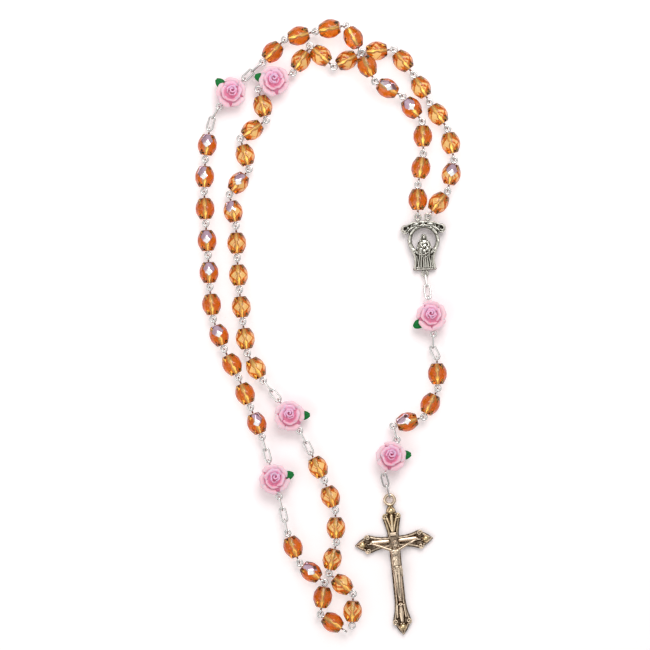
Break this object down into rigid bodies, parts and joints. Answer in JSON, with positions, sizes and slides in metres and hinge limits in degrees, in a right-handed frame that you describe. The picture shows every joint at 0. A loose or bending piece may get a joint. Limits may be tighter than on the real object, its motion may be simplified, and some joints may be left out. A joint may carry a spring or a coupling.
{
  "type": "rosary",
  "caption": "Rosary of faceted glass beads and clay roses on hooked wire eye pins, with a cast centre medal and a crucifix that hangs from a short pendant.",
  "frame": {"origin": "middle of the box around the rosary as it lies, on the surface that it lies on", "axes": "+X to the right and +Y up in the layout seen from above, +Z up from the surface"},
  "size_m": [0.106, 0.2452, 0.0123],
  "materials": {
    "topaz_glass": "faceted, part coated with an iridescent film",
    "silver_wire": "polished",
    "rose_clay": "matte",
    "leaf_clay": "matte",
    "medal_silver": "antique silver plate",
    "crucifix_metal": "antique silver with a gold-brown tint",
    "corpus_silver": "bright silver plate"
  },
  "bodies": {
    "centre_medal": {"centre_medal": "medal_silver"},
    "decade_1_run_1": {"decade_1_run_1_beads": "topaz_glass", "decade_1_run_1_pins": "silver_wire"},
    "decade_1_run_2": {"decade_1_run_2_beads": "topaz_glass", "decade_1_run_2_pins": "silver_wire"},
    "decade_1_run_3": {"decade_1_run_3_beads": "topaz_glass", "decade_1_run_3_pins": "silver_wire"},
    "decade_2_run_1": {"decade_2_run_1_beads": "topaz_glass", "decade_2_run_1_pins": "silver_wire"},
    "decade_2_run_2": {"decade_2_run_2_beads": "topaz_glass", "decade_2_run_2_pins": "silver_wire"},
    "decade_2_run_3": {"decade_2_run_3_beads": "topaz_glass", "decade_2_run_3_pins": "silver_wire"},
    "decade_3_run_1": {"decade_3_run_1_beads": "topaz_glass", "decade_3_run_1_pins": "silver_wire"},
    "decade_3_run_2": {"decade_3_run_2_beads": "topaz_glass", "decade_3_run_2_pins": "silver_wire"},
    "decade_3_run_3": {"decade_3_run_3_beads": "topaz_glass", "decade_3_run_3_pins": "silver_wire"},
    "decade_4_run_1": {"decade_4_run_1_beads": "topaz_glass", "decade_4_run_1_pins": "silver_wire"},
    "decade_4_run_2": {"decade_4_run_2_beads": "topaz_glass", "decade_4_run_2_pins": "silver_wire"},
    "decade_4_run_3": {"decade_4_run_3_beads": "topaz_glass", "decade_4_run_3_pins": "silver_wire"},
    "decade_5_run_1": {"decade_5_run_1_beads": "topaz_glass", "decade_5_run_1_pins": "silver_wire"},
    "decade_5_run_2": {"decade_5_run_2_beads": "topaz_glass", "decade_5_run_2_pins": "silver_wire"},
    "decade_5_run_3": {"decade_5_run_3_beads": "topaz_glass", "decade_5_run_3_pins": "silver_wire"},
    "rose_1": {"rose_1_bloom": "rose_clay", "rose_1_leaf": "leaf_clay", "rose_1_chain": "silver_wire"},
    "rose_2": {"rose_2_bloom": "rose_clay", "rose_2_leaf": "leaf_clay", "rose_2_chain": "silver_wire"},
    "rose_3": {"rose_3_bloom": "rose_clay", "rose_3_leaf": "leaf_clay", "rose_3_chain": "silver_wire"},
    "rose_4": {"rose_4_bloom": "rose_clay", "rose_4_leaf": "leaf_clay", "rose_4_chain": "silver_wire"},
    "rose_5": {"rose_5_bloom": "rose_clay", "rose_5_leaf": "leaf_clay", "rose_5_chain": "silver_wire"},
    "rose_6": {"rose_6_bloom": "rose_clay", "rose_6_leaf": "leaf_clay", "rose_6_chain": "silver_wire"},
    "pendant_pin_1": {"pendant_pin_1": "silver_wire"},
    "pendant_bead_1": {"pendant_bead_1": "topaz_glass"},
    "pendant_pin_2": {"pendant_pin_2": "silver_wire"},
    "pendant_bead_2": {"pendant_bead_2": "topaz_glass"},
    "pendant_pin_3": {"pendant_pin_3": "silver_wire"},
    "pendant_bead_3": {"pendant_bead_3": "topaz_glass"},
    "crucifix": {"crucifix": "crucifix_metal", "corpus": "corpus_silver"}
  },
  "joints": [
    {"name": "decade_1_run_1_swing", "type": "hinge", "parent": "centre_medal", "child": "decade_1_run_1", "pos_m": [0.03575, 0.04499, 0.00374], "axis": [1, 0, 0], "range_deg": [0, 75]},
    {"name": "decade_1_run_2_swing", "type": "hinge", "parent": "decade_1_run_1", "child": "decade_1_run_2", "pos_m": [0.03681, 0.08279, 0.00374], "axis": [0.788, 0.6157, 0], "range_deg": [0, 65]},
    {"name": "decade_1_run_3_swing", "type": "hinge", "parent": "decade_1_run_2", "child": "decade_1_run_3", "pos_m": [0.00626, 0.11967, 0.00698], "axis": [0.1736, -0.9848, 0], "range_deg": [-35, 60]},
    {"name": "rose_1_swing", "type": "hinge", "parent": "decade_1_run_3", "child": "rose_1", "pos_m": [-0.02704, 0.10471, 0.00378], "axis": [0.6428, -0.766, 0], "range_deg": [-75, 75]},
    {"name": "decade_2_run_1_swing", "type": "hinge", "parent": "rose_1", "child": "decade_2_run_1", "pos_m": [-0.04736, 0.07834, 0.00378], "axis": [-0.9903, 0.1392, 0], "range_deg": [-75, 75]},
    {"name": "decade_2_run_2_swing", "type": "hinge", "parent": "decade_2_run_1", "child": "decade_2_run_2", "pos_m": [-0.04867, 0.04023, 0.00378], "axis": [0.9976, 0.0698, 0], "range_deg": [-70, 70]},
    {"name": "decade_2_run_3_swing", "type": "hinge", "parent": "decade_2_run_2", "child": "decade_2_run_3", "pos_m": [-0.04098, -0.00976, 0.00378], "axis": [-0.891, -0.454, 0], "range_deg": [-70, 70]},
    {"name": "rose_2_swing", "type": "hinge", "parent": "decade_2_run_3", "child": "rose_2", "pos_m": [-0.02605, -0.04493, 0.00378], "axis": [0.9613, 0.2756, 0], "range_deg": [-75, 75]},
    {"name": "decade_3_run_1_swing", "type": "hinge", "parent": "rose_2", "child": "decade_3_run_1", "pos_m": [-0.01642, -0.0811, 0.00378], "axis": [-0.9781, -0.2079, 0], "range_deg": [-75, 75]},
    {"name": "decade_5_run_3_swing", "type": "hinge", "parent": "centre_medal", "child": "decade_5_run_3", "pos_m": [0.04045, 0.04492, 0.00372], "axis": [-0.788, 0.6157, 0], "range_deg": [0, 75]},
    {"name": "decade_5_run_2_swing", "type": "hinge", "parent": "decade_5_run_3", "child": "decade_5_run_2", "pos_m": [0.04695, 0.07996, 0.00372], "axis": [-0.829, -0.5592, 0], "range_deg": [0, 65]},
    {"name": "decade_5_run_1_swing", "type": "hinge", "parent": "decade_5_run_2", "child": "decade_5_run_1", "pos_m": [0.0251, 0.11056, 0.00372], "axis": [0.0872, -0.9962, 0], "range_deg": [0, 60]},
    {"name": "rose_4_swing", "type": "hinge", "parent": "decade_5_run_1", "child": "rose_4", "pos_m": [-0.01499, 0.1008, 0.00372], "axis": [0.4226, -0.9063, 0], "range_deg": [-45, 65]},
    {"name": "decade_4_run_3_swing", "type": "hinge", "parent": "rose_4", "child": "decade_4_run_3", "pos_m": [-0.02756, 0.09369, 0.00372], "axis": [-0.9659, -0.2588, 0], "range_deg": [-40, 5]},
    {"name": "decade_4_run_2_swing", "type": "hinge", "parent": "decade_4_run_3", "child": "decade_4_run_2", "pos_m": [-0.0322, 0.06201, 0.00372], "axis": [0.788, -0.6157, 0], "range_deg": [-60, 60]},
    {"name": "decade_4_run_1_swing", "type": "hinge", "parent": "decade_4_run_2", "child": "decade_4_run_1", "pos_m": [-0.03523, 0.01379, 0.00372], "axis": [-0.9945, -0.1045, 0], "range_deg": [-70, 70]},
    {"name": "rose_3_swing", "type": "hinge", "parent": "decade_4_run_1", "child": "rose_3", "pos_m": [-0.02513, -0.02229, 0.00372], "axis": [-0.766, -0.6428, 0], "range_deg": [-75, 75]},
    {"name": "decade_3_run_3_swing", "type": "hinge", "parent": "rose_3", "child": "decade_3_run_3", "pos_m": [-0.00659, -0.05061, 0.00372], "axis": [0.8988, 0.4384, 0], "range_deg": [-75, 75]},
    {"name": "decade_3_run_2_swing", "type": "hinge", "parent": "decade_3_run_3", "child": "decade_3_run_2", "pos_m": [0.00302, -0.08688, 0.00372], "axis": [0.9703, -0.2419, 0], "range_deg": [-70, 70]},
    {"name": "rose_5_swing", "type": "hinge", "parent": "centre_medal", "child": "rose_5", "pos_m": [0.03887, 0.0203, 0.0016], "axis": [-0.9925, -0.1219, 0], "range_deg": [-75, 75]},
    {"name": "pendant_pin_1_swing", "type": "hinge", "parent": "rose_5", "child": "pendant_pin_1", "pos_m": [0.04334, -0.01284, 0.00374], "axis": [0.9994, 0.0349, 0], "range_deg": [-75, 75]},
    {"name": "pendant_pin_2_swing", "type": "hinge", "parent": "pendant_pin_1", "child": "pendant_pin_2", "pos_m": [0.04324, -0.02546, 0.00374], "axis": [0.8988, -0.4384, 0], "range_deg": [-70, 70]},
    {"name": "pendant_pin_3_swing", "type": "hinge", "parent": "pendant_pin_2", "child": "pendant_pin_3", "pos_m": [0.03705, -0.03621, 0.00374], "axis": [-0.2756, 0.9613, 0], "range_deg": [-65, 65]},
    {"name": "rose_6_swing", "type": "hinge", "parent": "pendant_pin_3", "child": "rose_6", "pos_m": [0.0262, -0.04051, 0.00374], "axis": [0.9659, 0.2588, 0], "range_deg": [-75, 75]},
    {"name": "crucifix_swing", "type": "hinge", "parent": "rose_6", "child": "crucifix", "pos_m": [0.02435, -0.06703, 0.00165], "axis": [0.9613, 0.2756, 0], "range_deg": [-75, 75]},
    {"name": "pendant_bead_1_spin", "type": "hinge", "parent": "pendant_pin_1", "child": "pendant_bead_1", "pos_m": [0.04354, -0.01863, 0.00374], "axis": [0.0349, -0.9994, 0], "continuous": true},
    {"name": "pendant_bead_2_spin", "type": "hinge", "parent": "pendant_pin_2", "child": "pendant_bead_2", "pos_m": [0.0407, -0.03068, 0.00374], "axis": [-0.4384, -0.8988, 0], "continuous": true},
    {"name": "pendant_bead_3_spin", "type": "hinge", "parent": "pendant_pin_3", "child": "pendant_bead_3", "pos_m": [0.03148, -0.0378, 0.00374], "axis": [-0.9613, -0.2756, 0], "continuous": true}
  ]
}
